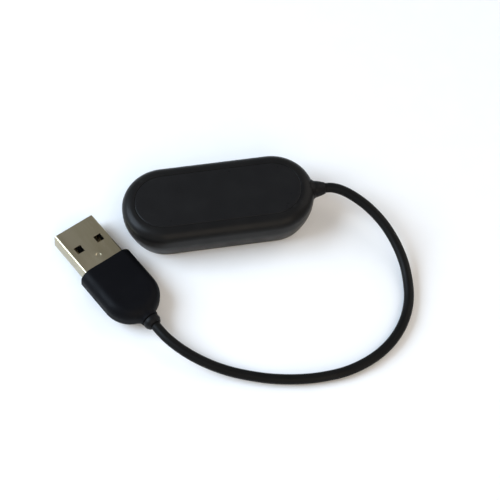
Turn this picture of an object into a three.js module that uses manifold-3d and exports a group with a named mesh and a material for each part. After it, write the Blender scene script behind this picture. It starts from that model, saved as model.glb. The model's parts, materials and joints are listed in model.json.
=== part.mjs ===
// Charging cradle for a wristband tracker's capsule, with its short cable and USB-A plug.
// Millimetres, +Z up. The cradle lies with its open side down and its closed back up.
// Origin: the middle of the cradle, on the surface that it lies on. +X points to the cable's exit.
import * as THREE from 'three';
import { mergeVertices } from 'three/addons/utils/BufferGeometryUtils.js';
import Module from 'manifold-3d';

const wasm = await Module();
wasm.setup();

// ---------- driving dimensions ----------

const SEAM = 0.15;              // glue or moulding seam between two fixed pieces
const GAP = 0.3;                // clearance where one piece stops short of another
const REACH = 1;                // how far a cutting tool runs past the face that it cuts

const ROUND_STEPS = 56;         // steps round the cradle's outline
const SMALL_ROUND_STEPS = 20;   // steps round small turned pieces
const OVERLAP = 0.1;            // how far two joined shapes sink into each other

const cradle = { length: 50.6, width: 22.3, height: 11.6 };
const endRadius = cradle.width / 2;
const halfStraight = cradle.length / 2 - endRadius;
const rimInset = 1.75;          // the side leans in by this much at the open rim
const wallTop = 7;              // height where the leaning side turns upright
const shoulder = { across: 3, up: 2.8 };
const shoulderFoot = cradle.height - shoulder.up;
const rimWall = 0.7;
const sideWall = 1.25;

const cover = { inset: 3.4, ledgeInset: 4.6, ledgeTop: 10.2, ledgeThickness: 1, edge: 0.2 };

const recess = { mouthInset: 3.35, floorInset: 4.35, depth: 6.2, lip: 0.15, fillet: 0.5 };
const tray = { outerInset: 2.6, backInset: 3.7, skirt: 1, floor: 1, corner: 0.3 };
const gripRib = { x: 11, radius: 0.55, height: 4, proud: 0.35 };

const board = { x0: 3, x1: 19.4, width: 11, z0: 7.5, thickness: 0.8, corner: 0.8 };
const boardTop = board.z0 + board.thickness;
const boardPost = { x: 5.5, y: 3.9, radius: 0.7, headRadius: 1.1, headHeight: 0.4 };
const fuseChip = { x: 9, y: 0, size: [1.8, 1, 0.55] };
const filterChip = { x: 9, y: 3, size: [1.6, 0.8, 0.5] };

const pin = { x: 13, y: 2.6 };
const pogoBarrel = {
  radius: 1, bore: 0.75, mouthBore: 0.55, mouth: 5.9, lip: 0.3, boreEnd: 9.35, end: 9.75,
  flangeRadius: 1.4, flangeThickness: 0.3, holeRadius: 1.15,
};
const pogoPlunger = { tip: 4.6, rodRadius: 0.45, headRadius: 0.65, headBottom: 6.35, headTop: 7.15 };
const pogoSpring = { bottom: 7.3, top: 9.2, radius: 0.5, wire: 0.07, turns: 5 };

const cableRadius = 1.35;
const jacketBore = 1.45;        // bore of the collars that grip the jacket
const lead = { radius: 0.4, spread: 0.55 };

const dockExitHeight = 8.2;
const dockCollar = {
  radius: 2.1, tipRadius: 1.7, flangeStart: 22.1, flangeEnd: 23.1, flangeHalfWidth: 3.1,
  taperStart: 25.5, end: 28.3, holeRadius: 2.25,
};
const exitNotch = { x0: 20.2, x1: 23.4, halfWidth: 3.4, z0: 9, z1: 10.5 };
const dockSolder = { x: 17.7, y: 1.9, radius: 0.7, height: 0.6 };

// The plug lies on the same surface, rolled a little by the cable's twist. Its own frame starts
// in the middle of the shell's front end: +X towards the cable, +Y across the plug, +Z up.
const plugTip = { x: -38.48, y: -0.78 };
const plugHeading = THREE.MathUtils.degToRad(-59.4);
const plugRoll = THREE.MathUtils.degToRad(-6.5);
const usbShell = { width: 12, height: 4.5, wall: 0.3, corner: 0.6, length: 18.7 };
const usbWindow = { x0: 5.9, x1: 8, y: 3.1, width: 2.1 };
const usbDimple = { x: 11.1, radius: 0.8, floorRadius: 0.56, depth: 0.12 };
const tongue = { x0: 0.5, width: 11.1, bottom: -1.8, top: -0.1 };
const carrierBlock = { x0: 12.6, x1: 18.3, top: 1.8 };
const contact = { width: 1, bottom: 0.05, thickness: 0.25, tail: 20.4, slotWidth: 1.3, slotHeight: 0.55 };
const contacts = [{ y: 3.5, x0: 1.2 }, { y: 1, x0: 2.2 }, { y: -1, x0: 2.2 }, { y: -3.5, x0: 1.2 }];

const innerMould = {
  x0: 19.1, x1: 26.4, width: 12, height: 5, corner: 0.5,
  roomWidth: 10, roomHeight: 3.4, roomEnd: 25.4, bore: 1.6,
};
const grip = { x0: 13.9, halfWidth: 7.6, thickness: 6.8, rearCentre: 24.8, edge: 2.8, bore: 2.1 };
const gripNeck = { x0: 31.4, x1: 33.2, radius: 2.4, flare: 0.6 };
const plugCollar = {
  sleeveStart: 29, sleeveRadius: 1.95, x0: 33.4, x1: 35.3, radius: 2.25, tipRadius: 1.75,
};
const plugSolder = { x: 19.3, radius: 0.55, height: 0.5 };

// Height of the plug's middle line when the rolled grip touches the surface.
const plugHeight = grip.edge
  + (grip.thickness / 2 - grip.edge) * Math.cos(plugRoll)
  + (grip.halfWidth - grip.edge) * Math.abs(Math.sin(plugRoll));

// The cable's middle line, from the cradle's collar round the loop to the plug's collar.
const cableRoute = [
  [28.6, 0, 8.2], [30.2, -0.2, 8.2], [32.2, -1, 8.1], [34.7, -2.7, 7.8], [38, -5.8, 7.1],
  [40.9, -9.5, 6.1], [43.1, -13.4, 4.9], [44.7, -17.8, 3.7], [45.6, -22.3, 2.6], [45.7, -26.9, 1.8],
  [45.1, -31.6, 1.4], [43.5, -36.1, 1.4], [41, -40.2, 1.4], [37.7, -43.7, 1.4], [33.9, -46.4, 1.4],
  [29.6, -48.4, 1.4], [25, -49.7, 1.4], [20.3, -50.2, 1.4], [15.5, -50.2, 1.4], [10.8, -49.7, 1.4],
  [6.2, -48.8, 1.4], [1.6, -47.5, 1.6], [-2.9, -45.9, 1.9], [-7.2, -43.9, 2.4], [-11.2, -41.4, 2.9],
  [-14.8, -38.5, 3.4], [-17.9, -35.2, 3.8], [-19.45, -32.95, 3.93], [-20.36, -31.42, 3.94],
];
const cableSteps = 24;
const cableSides = 8;

// ---------- finishes ----------

const finish = (color, roughness, metalness) =>
  new THREE.MeshStandardMaterial({ color, roughness, metalness });
const blackShell = () => finish(0x222224, 0.5, 0);
const blackGrip = () => finish(0x18191e, 0.55, 0);
const blackRubber = () => finish(0x1c1c1c, 0.65, 0);
const nickel = () => finish(0xa8a293, 0.3, 1);
const brass = () => finish(0xc9a24f, 0.3, 1);
const steel = () => finish(0x9a9a9c, 0.35, 1);
const solder = () => finish(0xb9bbbd, 0.35, 1);
const boardGreen = () => finish(0x1f4a2c, 0.5, 0);
const paleMould = () => finish(0xd8d6cc, 0.6, 0);
const blackNylon = () => finish(0x1a1a19, 0.6, 0);
const chipDark = () => finish(0x2b2724, 0.5, 0);
const redLead = () => finish(0xa01818, 0.5, 0);
const blackLead = () => finish(0x151515, 0.5, 0);

// ---------- solids ----------

// Leaves only positions, with shared vertices merged and no triangle collapsed to a line.
function welded(geometry) {
  const bare = geometry.clone();
  bare.deleteAttribute('normal');
  bare.deleteAttribute('uv');
  const merged = mergeVertices(bare, 1e-3);
  const index = merged.index.array;
  const kept = [];
  for (let i = 0; i < index.length; i += 3) {
    const [a, b, c] = [index[i], index[i + 1], index[i + 2]];
    if (a !== b && b !== c && c !== a) kept.push(a, b, c);
  }
  merged.setIndex(kept);
  return merged;
}

function toSolid(geometry) {
  const merged = welded(geometry);
  return new wasm.Manifold(new wasm.Mesh({
    numProp: 3,
    vertProperties: new Float32Array(merged.attributes.position.array),
    triVerts: new Uint32Array(merged.index.array),
  }));
}

function fromSolid(solid) {
  const mesh = solid.getMesh();
  const geometry = new THREE.BufferGeometry();
  geometry.setAttribute('position', new THREE.BufferAttribute(mesh.vertProperties, mesh.numProp));
  geometry.setIndex(new THREE.BufferAttribute(mesh.triVerts, 1));
  return geometry;
}

const joined = (first, ...others) =>
  fromSolid(others.reduce((solid, other) => solid.add(toSolid(other)), toSolid(first)));

const cut = (base, ...tools) =>
  fromSolid(tools.reduce((solid, tool) => solid.subtract(toSolid(tool)), toSolid(base)));

// A box given by its low and high corners.
function block(x0, x1, y0, y1, z0, z1) {
  return new THREE.BoxGeometry(x1 - x0, y1 - y0, z1 - z0)
    .translate((x0 + x1) / 2, (y0 + y1) / 2, (z0 + z1) / 2);
}

// A turned shape about Z from a profile of [radius, z] pairs that ends on the axis or closes.
function turned(profile, steps = SMALL_ROUND_STEPS) {
  const area = profile.reduce((sum, [r, z], i) => {
    const [nextR, nextZ] = profile[(i + 1) % profile.length];
    return sum + r * nextZ - nextR * z;
  }, 0);
  const ordered = area > 0 ? profile : [...profile].reverse();
  const points = ordered.map(([r, z]) => new THREE.Vector2(r, z));
  if (points[0].x > 0) points.push(points[0].clone());
  const halfStep = Math.PI / steps;
  return new THREE.LatheGeometry(points, steps, halfStep).rotateX(Math.PI / 2);
}

// The same about X, from [radius, x] pairs.
const turnedAlongX = (profile, steps) => turned(profile, steps).rotateY(Math.PI / 2);

// A turned shape pulled apart along X into a pill: two half rounds with straight sides between.
function pill(profile) {
  const geometry = turned(profile, ROUND_STEPS);
  const position = geometry.attributes.position;
  for (let i = 0; i < position.count; i += 1) {
    const x = position.getX(i);
    if (Math.abs(x) > 1e-6) position.setX(i, x + Math.sign(x) * halfStraight);
  }
  return geometry;
}

function roundedRectangle(width, height, corner) {
  const [x, y] = [width / 2, height / 2];
  const shape = new THREE.Shape();
  shape.moveTo(corner - x, -y);
  shape.lineTo(x - corner, -y);
  shape.absarc(x - corner, corner - y, corner, -Math.PI / 2, 0);
  shape.absarc(x - corner, y - corner, corner, 0, Math.PI / 2);
  shape.absarc(corner - x, y - corner, corner, Math.PI / 2, Math.PI);
  shape.absarc(corner - x, corner - y, corner, Math.PI, Math.PI * 1.5);
  shape.closePath();
  return shape;
}

// Extrudes a shape along +X: the shape's x runs across the plug and its y runs up.
function alongX(shape, x0, x1) {
  const turn = new THREE.Matrix4().makeBasis(
    new THREE.Vector3(0, 1, 0), new THREE.Vector3(0, 0, 1), new THREE.Vector3(1, 0, 0));
  return new THREE.ExtrudeGeometry(shape, { depth: x1 - x0, bevelEnabled: false, curveSegments: 4 })
    .applyMatrix4(turn)
    .translate(x0, 0, 0);
}

function ring(radius, sides) {
  const corners = Array.from({ length: sides }, (_, i) => {
    const angle = (2 * Math.PI * i) / sides;
    return new THREE.Vector2(radius * Math.cos(angle), radius * Math.sin(angle));
  });
  return new THREE.Shape(corners);
}

function tube(curve, radius, sides, steps) {
  return new THREE.ExtrudeGeometry(ring(radius, sides), { extrudePath: curve, steps });
}

const smoothLine = (points) =>
  new THREE.CatmullRomCurve3(points.map(([x, y, z]) => new THREE.Vector3(x, y, z)));

// ---------- cradle ----------

const sideInset = (z) => (z < wallTop ? rimInset * (1 - z / wallTop) ** 1.5 : 0);
const wallAt = (z) => rimWall + (sideWall - rimWall) * Math.min(z / wallTop, 1);
const steps = (count) => Array.from({ length: count + 1 }, (_, i) => i / count);

function outerShell() {
  const side = steps(5).map((t) => [endRadius - sideInset(t * wallTop), t * wallTop]);
  const curve = steps(8).map((t) => {
    const angle = (t * Math.PI) / 2;
    return [
      endRadius - shoulder.across * (1 - Math.cos(angle)),
      shoulderFoot + shoulder.up * Math.sin(angle),
    ];
  });
  const seat = [
    [endRadius - cover.inset, cradle.height],
    [endRadius - cover.inset, cover.ledgeTop],
    [endRadius - cover.ledgeInset, cover.ledgeTop],
    [endRadius - cover.ledgeInset, cover.ledgeTop - cover.ledgeThickness],
    [endRadius - sideWall, cover.ledgeTop - cover.ledgeThickness],
  ];
  const inside = steps(4).map((t) => {
    const z = (1 - t) * wallTop;
    return [endRadius - sideInset(z) - wallAt(z), z];
  });
  const cableHole = turnedAlongX([
    [0, exitNotch.x0],
    [dockCollar.holeRadius, exitNotch.x0],
    [dockCollar.holeRadius, cradle.length / 2 + REACH],
    [0, cradle.length / 2 + REACH],
  ]).translate(0, 0, dockExitHeight);
  const notch = block(
    exitNotch.x0, exitNotch.x1, -exitNotch.halfWidth, exitNotch.halfWidth,
    exitNotch.z0, exitNotch.z1);
  return cut(pill([...side, ...curve, ...seat, ...inside]), cableHole, notch);
}

function backCover() {
  const radius = endRadius - cover.inset - SEAM;
  const bottom = cover.ledgeTop + SEAM;
  return pill([
    [0, bottom],
    [radius, bottom],
    [radius, cradle.height - cover.edge],
    [radius - cover.edge, cradle.height],
    [0, cradle.height],
  ]);
}

function boardPostShape(y) {
  const head = boardTop + SEAM;
  return turned([
    [0, recess.depth + tray.floor - OVERLAP],
    [boardPost.radius, recess.depth + tray.floor - OVERLAP],
    [boardPost.radius, head],
    [boardPost.headRadius, head],
    [boardPost.radius, head + boardPost.headHeight],
    [0, head + boardPost.headHeight],
  ]).translate(boardPost.x, y, 0);
}

// A vertical half-round rib on the recess wall, leaning with the wall.
function gripRibShape(side, end) {
  const lean = Math.atan((recess.floorInset - recess.mouthInset) / recess.depth);
  const wallMiddle = endRadius - (recess.mouthInset + recess.floorInset) / 2;
  const y = wallMiddle + gripRib.radius - gripRib.proud;
  return new THREE.CylinderGeometry(gripRib.radius, gripRib.radius, gripRib.height, 12)
    .rotateX(Math.PI / 2 + side * lean)
    .translate(end * gripRib.x, side * y, recess.depth / 2);
}

function pinHole(side) {
  const { holeRadius } = pogoBarrel;
  return turned([[0, 0], [holeRadius, 0], [holeRadius, cradle.height], [0, cradle.height]])
    .translate(pin.x, side * pin.y, 0);
}

function cradleTray() {
  const back = recess.depth + tray.floor;
  const cup = pill([
    [0, recess.depth],
    [endRadius - recess.floorInset - recess.fillet, recess.depth],
    [endRadius - recess.floorInset, recess.depth - recess.fillet],
    [endRadius - recess.mouthInset, recess.lip],
    [endRadius - recess.mouthInset + recess.lip, 0],
    [endRadius - tray.outerInset, 0],
    [endRadius - tray.outerInset, tray.skirt],
    [endRadius - tray.backInset, back - tray.corner],
    [endRadius - tray.backInset - tray.corner, back],
    [0, back],
  ]);
  const ribs = [1, -1].flatMap((side) => [1, -1].map((end) => gripRibShape(side, end)));
  const posts = [1, -1].map((side) => boardPostShape(side * boardPost.y));
  return cut(joined(cup, ...ribs, ...posts), pinHole(1), pinHole(-1));
}

function contactBoard() {
  const length = board.x1 - board.x0;
  const plate = new THREE.ExtrudeGeometry(
    roundedRectangle(length, board.width, board.corner),
    { depth: board.thickness, bevelEnabled: false, curveSegments: 4 },
  ).translate((board.x0 + board.x1) / 2, 0, board.z0);
  const postRadius = boardPost.radius + SEAM;
  const postHoles = [1, -1].map((side) =>
    turned([[0, 0], [postRadius, 0], [postRadius, cradle.height], [0, cradle.height]])
      .translate(boardPost.x, side * boardPost.y, 0));
  return cut(plate, pinHole(1), pinHole(-1), ...postHoles);
}

function chip({ x, y, size: [length, width, height] }) {
  const z = boardTop + SEAM;
  return block(x - length / 2, x + length / 2, y - width / 2, y + width / 2, z, z + height);
}

// ---------- sprung charging pins, drawn on their own axis ----------

function barrelShape() {
  const { radius, bore, mouthBore, mouth, lip, boreEnd, end, flangeRadius, flangeThickness } = pogoBarrel;
  const flange = boardTop + SEAM;
  return turned([
    [mouthBore, mouth],
    [radius, mouth],
    [radius, flange],
    [flangeRadius, flange],
    [flangeRadius, flange + flangeThickness],
    [radius, flange + flangeThickness],
    [radius, end],
    [0, end],
    [0, boreEnd],
    [bore, boreEnd],
    [bore, mouth + lip],
    [mouthBore, mouth + lip],
  ].reverse());
}

function plungerShape() {
  const { tip, rodRadius, headRadius, headBottom, headTop } = pogoPlunger;
  const nose = steps(4).map((t) => {
    const angle = (t * Math.PI) / 2;
    return [rodRadius * Math.sin(angle), tip + rodRadius * (1 - Math.cos(angle))];
  });
  return turned([
    ...nose,
    [rodRadius, headBottom],
    [headRadius, headBottom],
    [headRadius, headTop],
    [0, headTop],
  ]);
}

class Helix extends THREE.Curve {
  getPoint(t) {
    const angle = 2 * Math.PI * pogoSpring.turns * t;
    const height = pogoSpring.top - pogoSpring.bottom - 2 * pogoSpring.wire;
    return new THREE.Vector3(
      pogoSpring.radius * Math.cos(angle),
      pogoSpring.radius * Math.sin(angle),
      pogoSpring.bottom + pogoSpring.wire + height * t);
  }
}

const springShape = () => tube(new Helix(), pogoSpring.wire, 5, pogoSpring.turns * 10);

function pinSolderShape() {
  const inner = pogoBarrel.flangeRadius + SEAM;
  const bottom = boardTop + SEAM;
  const fillet = { width: 0.6, height: 0.5 };
  return turned([[inner, bottom], [inner + fillet.width, bottom], [inner, bottom + fillet.height]]);
}

// A low dome of solder, standing on z = 0.
function solderDome({ radius, height }) {
  const dome = steps(4).map((t) => {
    const angle = (t * Math.PI) / 2;
    return [radius * Math.cos(angle), height * Math.sin(angle)];
  });
  return turned([[0, 0], ...dome], 12);
}

// ---------- cable and its collars ----------

function dockStrainRelief() {
  const { radius, tipRadius, flangeStart, flangeEnd, flangeHalfWidth, taperStart, end } = dockCollar;
  const taper = steps(4).map((t) => [
    tipRadius + (radius - tipRadius) * (1 - t) ** 2,
    taperStart + (end - taperStart) * t,
  ]);
  const sleeve = turnedAlongX([
    [jacketBore, flangeStart], [radius, flangeStart],
    ...taper,
    [jacketBore, end],
  ]);
  const flange = block(flangeStart, flangeEnd, -flangeHalfWidth, flangeHalfWidth, -radius, radius);
  const bore = turnedAlongX([
    [0, flangeStart - REACH], [jacketBore, flangeStart - REACH],
    [jacketBore, end + REACH], [0, end + REACH],
  ]);
  return cut(joined(sleeve, flange), bore).translate(0, 0, dockExitHeight);
}

function dockLead(side) {
  const { x, y, radius } = dockSolder;
  const start = cradle.length / 2 - GAP;
  const end = x + radius + SEAM;
  const height = boardTop + SEAM + lead.radius;
  return tube(smoothLine([
    [start, side * lead.spread, dockExitHeight],
    [(start + dockCollar.flangeEnd) / 2, side * lead.spread, dockExitHeight],
    [dockCollar.flangeStart, side * lead.spread, dockExitHeight + SEAM],
    [(end + dockCollar.flangeStart) / 2, side * (y + lead.spread) / 2, height],
    [end, side * y, height + SEAM],
  ]), lead.radius, 8, 12);
}

const cableShape = () => tube(smoothLine(cableRoute), cableRadius, cableSides, cableSteps);

// ---------- plug, in its own frame ----------

function usbShellShape() {
  const { width, height, wall, corner, length } = usbShell;
  const outline = roundedRectangle(width, height, corner);
  outline.holes.push(roundedRectangle(width - 2 * wall, height - 2 * wall, corner - wall));
  const windows = [1, -1].map((side) => block(
    usbWindow.x0, usbWindow.x1,
    side * usbWindow.y - usbWindow.width / 2, side * usbWindow.y + usbWindow.width / 2,
    -height, height));
  const { radius, floorRadius, depth, x } = usbDimple;
  const dimple = turned([
    [0, height / 2 - depth], [floorRadius, height / 2 - depth],
    [radius, height / 2 + depth], [0, height / 2 + depth],
  ]).translate(x, 0, 0);
  return cut(alongX(outline, 0, length), ...windows, dimple);
}

function contactCarrier() {
  const half = tongue.width / 2;
  const blade = block(tongue.x0, carrierBlock.x0 + OVERLAP, -half, half, tongue.bottom, tongue.top);
  const rear = block(carrierBlock.x0, carrierBlock.x1, -half, half, tongue.bottom, carrierBlock.top);
  const slots = contacts.map(({ y }) => block(
    carrierBlock.x0 - REACH, carrierBlock.x1 + REACH,
    y - contact.slotWidth / 2, y + contact.slotWidth / 2,
    tongue.top, tongue.top + contact.slotHeight));
  return cut(joined(blade, rear), ...slots);
}

function contactBlade({ x0, y }) {
  const half = contact.width / 2;
  return block(x0, contact.tail, y - half, y + half, contact.bottom, contact.bottom + contact.thickness);
}

function boreAlongX(radius, x0, x1) {
  return turnedAlongX([[0, x0], [radius, x0], [radius, x1], [0, x1]]);
}

function innerMouldShape() {
  const { x0, x1, width, height, corner, roomWidth, roomHeight, roomEnd, bore } = innerMould;
  const body = alongX(roundedRectangle(width, height, corner), x0, x1);
  const room = block(x0 - REACH, roomEnd, -roomWidth / 2, roomWidth / 2, -roomHeight / 2, roomHeight / 2);
  return cut(body, room, boreAlongX(bore, roomEnd - REACH, x1 + REACH));
}

function plugLead(side) {
  const tailTop = contact.bottom + contact.thickness;
  const height = tailTop + SEAM + lead.radius;
  const start = plugSolder.x + plugSolder.radius + SEAM;
  return tube(smoothLine([
    [start, side * contacts[0].y, height],
    [start + 2, side * (contacts[0].y - 0.5), height],
    [(start + innerMould.roomEnd) / 2 + 1, side * 1.6, height / 3],
    [innerMould.roomEnd, side * lead.spread, 0],
    [plugCollar.sleeveStart, side * lead.spread, 0],
    [plugCollar.x1 - GAP, side * lead.spread, 0],
  ]), lead.radius, 8, 14);
}

function plugGrip() {
  const { x0, halfWidth, thickness, rearCentre, edge, bore } = grip;
  const outline = new THREE.Shape();
  outline.moveTo(x0 - 2 * edge, -halfWidth);
  outline.lineTo(rearCentre, -halfWidth);
  outline.absarc(rearCentre, 0, halfWidth, -Math.PI / 2, Math.PI / 2);
  outline.lineTo(x0 - 2 * edge, halfWidth);
  outline.closePath();
  const body = new THREE.ExtrudeGeometry(outline, {
    depth: thickness - 2 * edge, curveSegments: 24,
    bevelThickness: edge, bevelSize: edge, bevelOffset: -edge, bevelSegments: 5,
  }).translate(0, 0, edge - thickness / 2);
  const neckRadius = (t) => gripNeck.radius + gripNeck.flare * (1 - t) ** 2;
  const neck = turnedAlongX([
    [0, gripNeck.x0],
    ...steps(5).map((t) => [neckRadius(t), gripNeck.x0 + (gripNeck.x1 - gripNeck.x0) * t]),
    [0, gripNeck.x1],
  ]);
  const front = block(x0 - 3 * edge, x0, -2 * halfWidth, 2 * halfWidth, -thickness, thickness);
  const shellWay = roundedRectangle(
    usbShell.width + 2 * SEAM, usbShell.height + 2 * SEAM, usbShell.corner + SEAM);
  const mouth = alongX(shellWay, x0 - REACH, innerMould.x0);
  const room = block(
    innerMould.x0 - SEAM, innerMould.x1 + GAP,
    -innerMould.width / 2 - SEAM, innerMould.width / 2 + SEAM,
    -innerMould.height / 2 - SEAM, innerMould.height / 2 + SEAM);
  return cut(joined(body, neck), front, mouth, room, boreAlongX(bore, innerMould.x1, gripNeck.x1 + REACH));
}

function plugStrainRelief() {
  const { sleeveStart, sleeveRadius, x0, x1, radius, tipRadius } = plugCollar;
  return turnedAlongX([
    [jacketBore, sleeveStart],
    [sleeveRadius, sleeveStart],
    [sleeveRadius, x0],
    [radius, x0],
    [radius, (x0 + x1) / 2],
    [tipRadius, x1],
    [jacketBore, x1],
  ]);
}

// ---------- assembly ----------

const group = new THREE.Group();

function add(parent, name, geometry, material) {
  const mesh = new THREE.Mesh(welded(geometry), material);
  mesh.name = name;
  parent.add(mesh);
  return mesh;
}

add(group, 'outer_shell', outerShell(), blackShell());
add(group, 'back_cover', backCover(), blackShell());
add(group, 'cradle_tray', cradleTray(), blackShell());
add(group, 'contact_board', contactBoard(), boardGreen());
add(group, 'fuse_chip', chip(fuseChip), chipDark());
add(group, 'filter_chip', chip(filterChip), chipDark());
add(group, 'dock_strain_relief', dockStrainRelief(), blackRubber());
add(group, 'cable', cableShape(), blackRubber());

for (const [hand, side] of [['left', 1], ['right', -1]]) {
  const pinGroup = new THREE.Group();
  pinGroup.position.set(pin.x, side * pin.y, 0);
  add(pinGroup, `pogo_barrel_${hand}`, barrelShape(), brass());
  add(pinGroup, `pogo_plunger_${hand}`, plungerShape(), brass());
  add(pinGroup, `pogo_spring_${hand}`, springShape(), steel());
  add(pinGroup, `pogo_solder_${hand}`, pinSolderShape(), solder());
  group.add(pinGroup);
}

const plug = new THREE.Group();
plug.position.set(plugTip.x, plugTip.y, plugHeight);
plug.rotation.set(plugRoll, 0, plugHeading, 'ZYX');
group.add(plug);

for (const [colour, side, material] of [['red', 1, redLead], ['black', -1, blackLead]]) {
  add(group, `dock_lead_${colour}`, dockLead(side), material());
  const dockDome = add(group, `dock_solder_${colour}`, solderDome(dockSolder), solder());
  dockDome.position.set(dockSolder.x, side * dockSolder.y, boardTop + SEAM);
  add(plug, `plug_lead_${colour}`, plugLead(side), material());
  const plugDome = add(plug, `plug_solder_${colour}`, solderDome(plugSolder), solder());
  plugDome.position.set(plugSolder.x, side * contacts[0].y, contact.bottom + contact.thickness + SEAM);
}

add(plug, 'usb_shell', usbShellShape(), nickel());
add(plug, 'contact_carrier', contactCarrier(), blackNylon());
contacts.forEach((place, i) => add(plug, `usb_contact_${i + 1}`, contactBlade(place), brass()));
add(plug, 'plug_inner_mould', innerMouldShape(), paleMould());
add(plug, 'plug_grip', plugGrip(), blackGrip());
add(plug, 'plug_strain_relief', plugStrainRelief(), blackRubber());

export default group;
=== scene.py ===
"""Looks for a wristband tracker's charging cradle, its looped cable and its USB-A plug.

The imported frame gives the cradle's overall size, the middle of each charging pin and the place of
the plug. The other dimensions are those of the CAD source, apart from small fits and roundings.
Shapes are drawn in millimetres in the frame's own axes and become metres when a mesh is made.
"""
import json
import math

import bmesh
import bpy
import numpy as np
from mathutils import Euler, Matrix, Vector


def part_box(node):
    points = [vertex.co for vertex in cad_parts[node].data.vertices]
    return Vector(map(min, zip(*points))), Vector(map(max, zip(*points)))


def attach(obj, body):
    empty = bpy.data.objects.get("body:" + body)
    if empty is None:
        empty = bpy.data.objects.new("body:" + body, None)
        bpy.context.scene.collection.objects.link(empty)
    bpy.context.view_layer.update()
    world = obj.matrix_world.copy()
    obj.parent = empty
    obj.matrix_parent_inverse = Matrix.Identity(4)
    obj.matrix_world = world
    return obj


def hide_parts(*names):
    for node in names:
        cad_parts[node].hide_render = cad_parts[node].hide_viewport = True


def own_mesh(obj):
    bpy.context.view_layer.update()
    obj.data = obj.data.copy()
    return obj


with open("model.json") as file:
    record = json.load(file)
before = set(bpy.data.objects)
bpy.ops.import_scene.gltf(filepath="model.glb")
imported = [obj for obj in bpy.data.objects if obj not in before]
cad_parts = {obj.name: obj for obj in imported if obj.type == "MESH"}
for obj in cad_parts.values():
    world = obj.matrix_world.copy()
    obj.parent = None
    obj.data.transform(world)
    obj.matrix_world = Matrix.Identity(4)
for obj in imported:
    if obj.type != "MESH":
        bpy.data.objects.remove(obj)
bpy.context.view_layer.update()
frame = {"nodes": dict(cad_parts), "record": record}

MM = 0.001


def box_mm(node):
    """Lowest and highest corner of a CAD node, in millimetres."""
    low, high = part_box(node)
    return low / MM, high / MM


def mount(name):
    """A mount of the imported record."""
    return next(m for m in frame["record"]["mounts"] if m["name"] == name)


# ---------- driving dimensions, in millimetres ----------

cradle_low, cradle_high = box_mm("outer_shell")
CRADLE_HEIGHT = cradle_high.z
END_RADIUS = (cradle_high.y - cradle_low.y) / 2
HALF_STRAIGHT = (cradle_high.x - cradle_low.x) / 2 - END_RADIUS
RIM_INSET = 1.75
WALL_TOP = 7.0
SHOULDER_ACROSS = 3.0
SHOULDER_UP = 2.8
RIM_WALL = 0.7
RIM_ROUNDING = 0.12
SIDE_WALL = 1.25

COVER_INSET = 3.4
LEDGE_INSET = 4.6
LEDGE_TOP = 10.2
LEDGE_THICKNESS = 1.0
SEAM = 0.15
COVER_FIT = 0.04                # the glued cover's visible gap
COVER_ROUNDING = 0.22
SEAT_ROUNDING = 0.12

RECESS_MOUTH_INSET = 3.35
RECESS_FLOOR_INSET = 4.35
RECESS_DEPTH = 6.2
TRAY_OUTER_INSET = 2.6
TRAY_BACK_INSET = 3.7
TRAY_SKIRT = 1.0
TRAY_BACK = 7.2
RIB_X = 11.0
RIB_RADIUS = 0.55
RIB_HEIGHT = 4.0
RIB_PROUD = 0.35
POST_X = 5.5
POST_Y = 3.9
# A board post with its flattened head, as (radius, height).
POST_PROFILE = [(0.7, 7.1), (0.7, 8.42), (1.05, 8.45), (1.1, 8.55), (0.95, 8.75), (0.6, 8.86)]

# The charging pins stand upright, and these are radii and heights.
PIN_HOLE_RADIUS = 1.15
PIN_HOLE_HEIGHTS = (4, 9)
SLEEVE_MOUTH_RADIUS = 0.55
SLEEVE_MOUTH = 5.9
SLEEVE_LIP_TOP = 6.2
SLEEVE_RADIUS = 1
SLEEVE_BORE = 0.75
SLEEVE_BORE_END = 9.35
SLEEVE_TOP = 9.75
SLEEVE_FLANGE_RADIUS = 1.4
SLEEVE_FLANGE_BOTTOM = 8.45
SLEEVE_FLANGE_TOP = 8.75
PLUNGER_TIP = 4.6
PLUNGER_RADIUS = 0.45
PLUNGER_HEAD_RADIUS = 0.65
PLUNGER_HEAD_BOTTOM = 6.35
PLUNGER_HEAD_TOP = 7.15
NEAR_AXIS = 0.05                # a turned end closes at this small radius
SPRING_RADIUS = 0.5
SPRING_WIRE = 0.07
SPRING_BOTTOM = 7.3
SPRING_TOP = 9.2
SPRING_TURNS = 5
SPRING_FLAT_TURNS = 0.6         # at each end

EXIT_HEIGHT = 8.2
EXIT_HOLE_RADIUS = 2.25
EXIT_NOTCH_X = (20.2, 23.4)
EXIT_NOTCH_HALF_WIDTH = 3.4
EXIT_NOTCH_Z = (9, 10.5)
CABLE_RADIUS = 1.3              # below the CAD's 1.35, whose tube has eight flat sides
JACKET_BORE = 1.45

COLLAR_RADIUS = 2.1
COLLAR_ROOT_RADIUS = 2.2
COLLAR_TIP_RADIUS = 1.52
COLLAR_FLANGE_X = 22.1
COLLAR_FLANGE_THICKNESS = 1
COLLAR_FLANGE_HALF_WIDTH = 3.1
COLLAR_CONE_START = 25.8
COLLAR_TIP_ROUNDING = 0.05
SKIRT_RADIUS = 2.75
SKIRT_BACK = 0.03               # from the cradle's wall to the skirt's back and to its front
SKIRT_FRONT = 0.07

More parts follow.
